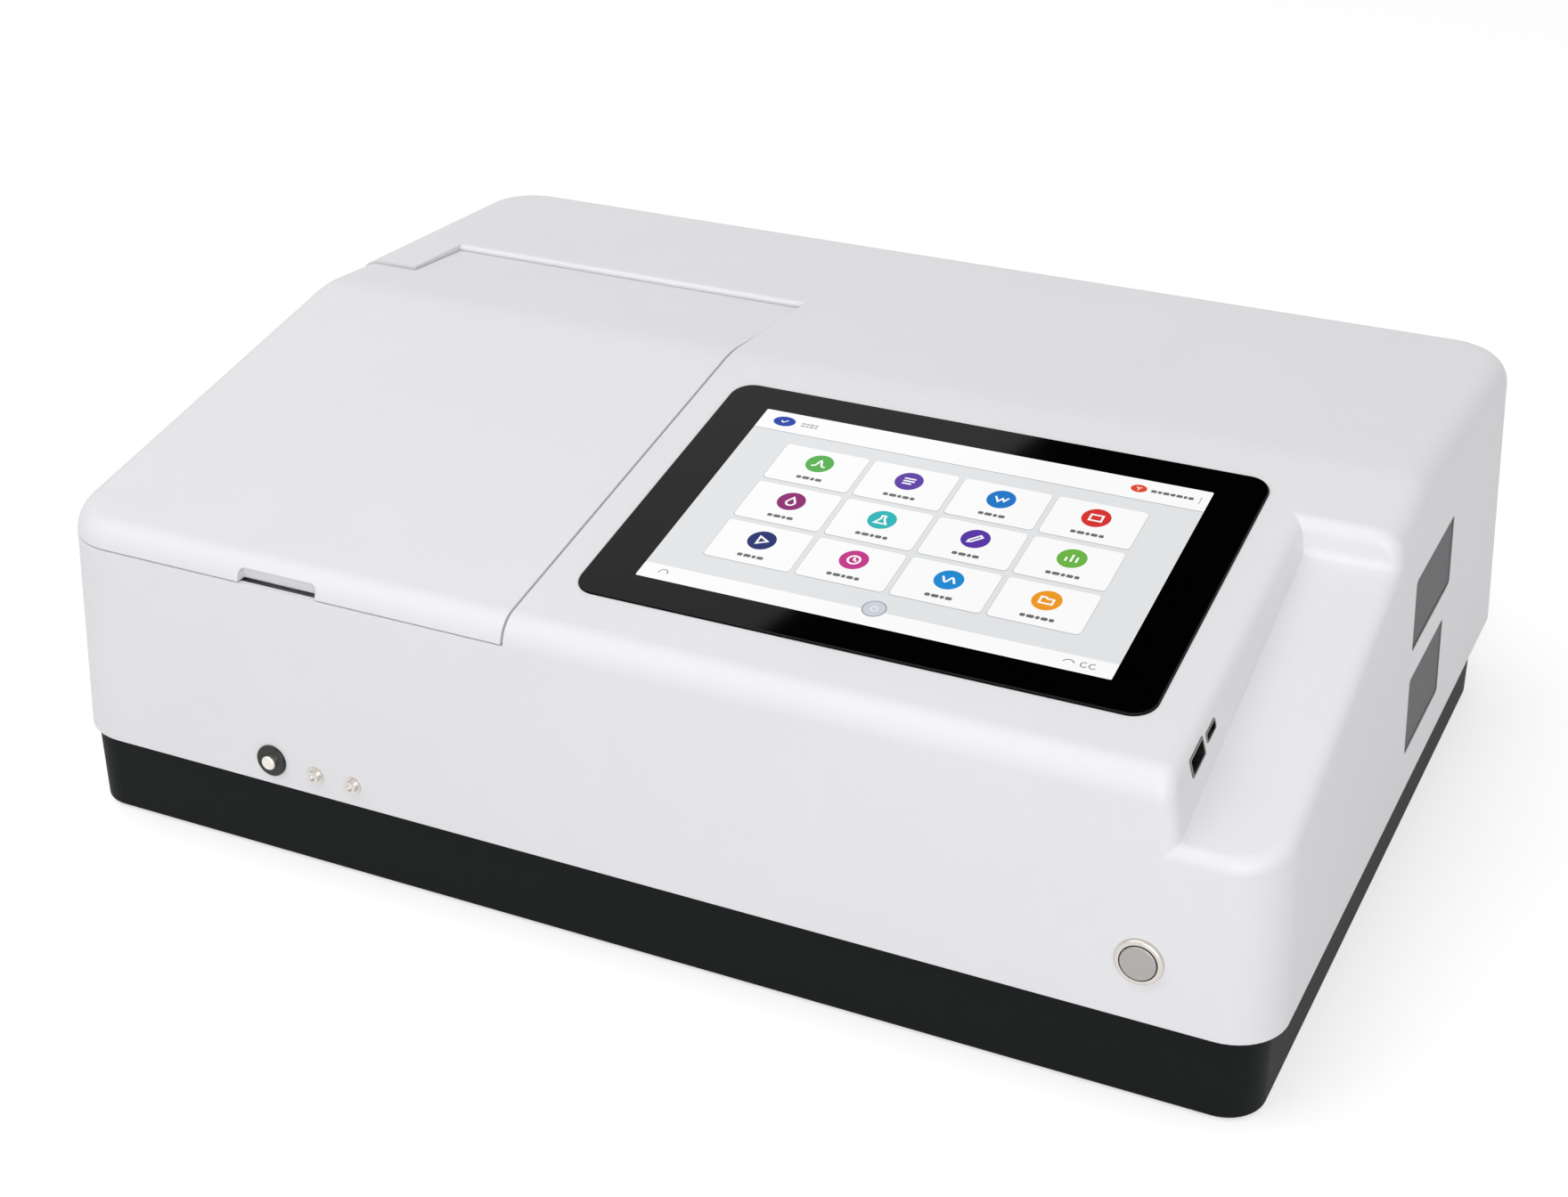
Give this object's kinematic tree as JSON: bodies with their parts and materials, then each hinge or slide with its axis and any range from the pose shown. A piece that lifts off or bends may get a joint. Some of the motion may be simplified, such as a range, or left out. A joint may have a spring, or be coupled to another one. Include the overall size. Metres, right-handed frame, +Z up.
{
  "type": "double-beam uv-vis spectrophotometer",
  "caption": "Benchtop double-beam UV-Vis spectrophotometer: white sloped housing with tilted touch panel, hinged sample lid, cell changer pull rod, side shelf with sockets, black base tray.",
  "frame": {"origin": "on the table, under the middle of the housing's outline", "axes": "+Z up, +X to the user's right along the long side, +Y to the back; the user faces the part from -Y"},
  "size_m": [0.6, 0.4335, 0.1976],
  "materials": {
    "cover_white": "fine grained moulding",
    "base_black": "satin moulding",
    "foot_rubber": "matt",
    "vent_grey": "matt",
    "stainless": "turned and brushed",
    "zinc_steel": "zinc plated",
    "black_plastic": "smooth",
    "glass_black": "polished, black printed border",
    "display": "lit screen",
    "sheet_steel": "galvanised sheet",
    "light_shield": "matt black",
    "foam": "closed cell foam",
    "anodised_black": "black anodised",
    "bare_aluminium": "milled",
    "cast_aluminium": "cast and painted",
    "quartz": "polished",
    "mirror_coat": "front surface mirror",
    "circuit_green": "solder mask",
    "motor_metal": "painted",
    "lamp_metal": "high temperature paint"
  },
  "bodies": {
    "housing": {"base_tray": "base_black", "rubber_feet": "foot_rubber", "main_cover": "cover_white", "cover_screws": "zinc_steel", "rear_panel": "sheet_steel", "vent_panel_upper": "vent_grey", "vent_panel_lower": "vent_grey", "hinge_brackets": "zinc_steel", "hinge_pins": "stainless", "chamber_seal": "foam", "sample_chamber": "anodised_black", "chamber_windows": "quartz", "guide_rods": "stainless", "rod_bush": "black_plastic", "front_screws": "stainless", "reference_cell_holder": "anodised_black", "touch_glass": "glass_black", "lcd_panel": "display", "display_tray": "sheet_steel", "display_board": "circuit_green", "power_button_body": "stainless", "power_button_nut": "zinc_steel", "usb_socket": "stainless", "aux_socket": "stainless", "power_inlet": "black_plastic", "data_socket": "stainless", "fan_frame": "black_plastic", "fan_guard": "black_plastic", "optical_bench": "cast_aluminium", "bench_mounts": "foot_rubber", "monochromator_case": "cast_aluminium", "monochromator_cover": "anodised_black", "slit_plates": "anodised_black", "grating_motor": "motor_metal", "mirror_motor": "motor_metal", "lamp_house": "lamp_metal", "deuterium_lamp": "quartz", "halogen_lamp": "quartz", "filter_motor": "motor_metal", "beam_block": "anodised_black", "beam_lenses": "quartz", "fold_mirror": "mirror_coat", "beam_splitter": "quartz", "detector_block": "anodised_black", "photodiodes": "motor_metal", "power_supply": "sheet_steel", "main_board": "circuit_green"},
    "lid": {"sample_lid": "cover_white", "lid_liner": "light_shield"},
    "carriage": {"cell_carriage": "anodised_black", "pull_rod": "stainless"},
    "button": {"power_button_cap": "stainless"},
    "fan": {"fan_rotor": "black_plastic"},
    "turret": {"grating_turret": "bare_aluminium", "grating": "mirror_coat"},
    "lamp_selector": {"mirror_turret": "bare_aluminium", "lamp_mirror": "mirror_coat"},
    "filters": {"filter_wheel": "anodised_black", "filter_glasses": "quartz"}
  },
  "joints": [
    {"name": "lid_hinge", "type": "hinge", "parent": "housing", "child": "lid", "pos_m": [-0.152, 0.0746, 0.18687], "axis": [-1, 0, 0], "range_deg": [0, 75]},
    {"name": "carriage_slide", "type": "slide", "parent": "housing", "child": "carriage", "axis": [0, -1, 0], "range_m": [0, 0.066]},
    {"name": "power_press", "type": "slide", "parent": "housing", "child": "button", "axis": [0, 0.999, -0.0436], "range_m": [0, 0.0018], "stiffness_N_per_m": 800, "springref_m": -0.001},
    {"name": "fan_spin", "type": "hinge", "parent": "housing", "child": "fan", "pos_m": [0.205, 0.19473, 0.10668], "axis": [0, 0.999, 0.0436], "continuous": true},
    {"name": "grating_turn", "type": "hinge", "parent": "housing", "child": "turret", "pos_m": [-0.078, 0.12, 0.086], "axis": [0, 0, 1], "range_deg": [-10, 45]},
    {"name": "lamp_mirror_turn", "type": "hinge", "parent": "housing", "child": "lamp_selector", "pos_m": [0.205, 0.12, 0.086], "axis": [0, 0, 1], "range_deg": [0, 90]},
    {"name": "filter_wheel_spin", "type": "hinge", "parent": "housing", "child": "filters", "pos_m": [0.134, 0.137, 0.086], "axis": [1, 0, 0], "continuous": true}
  ]
}
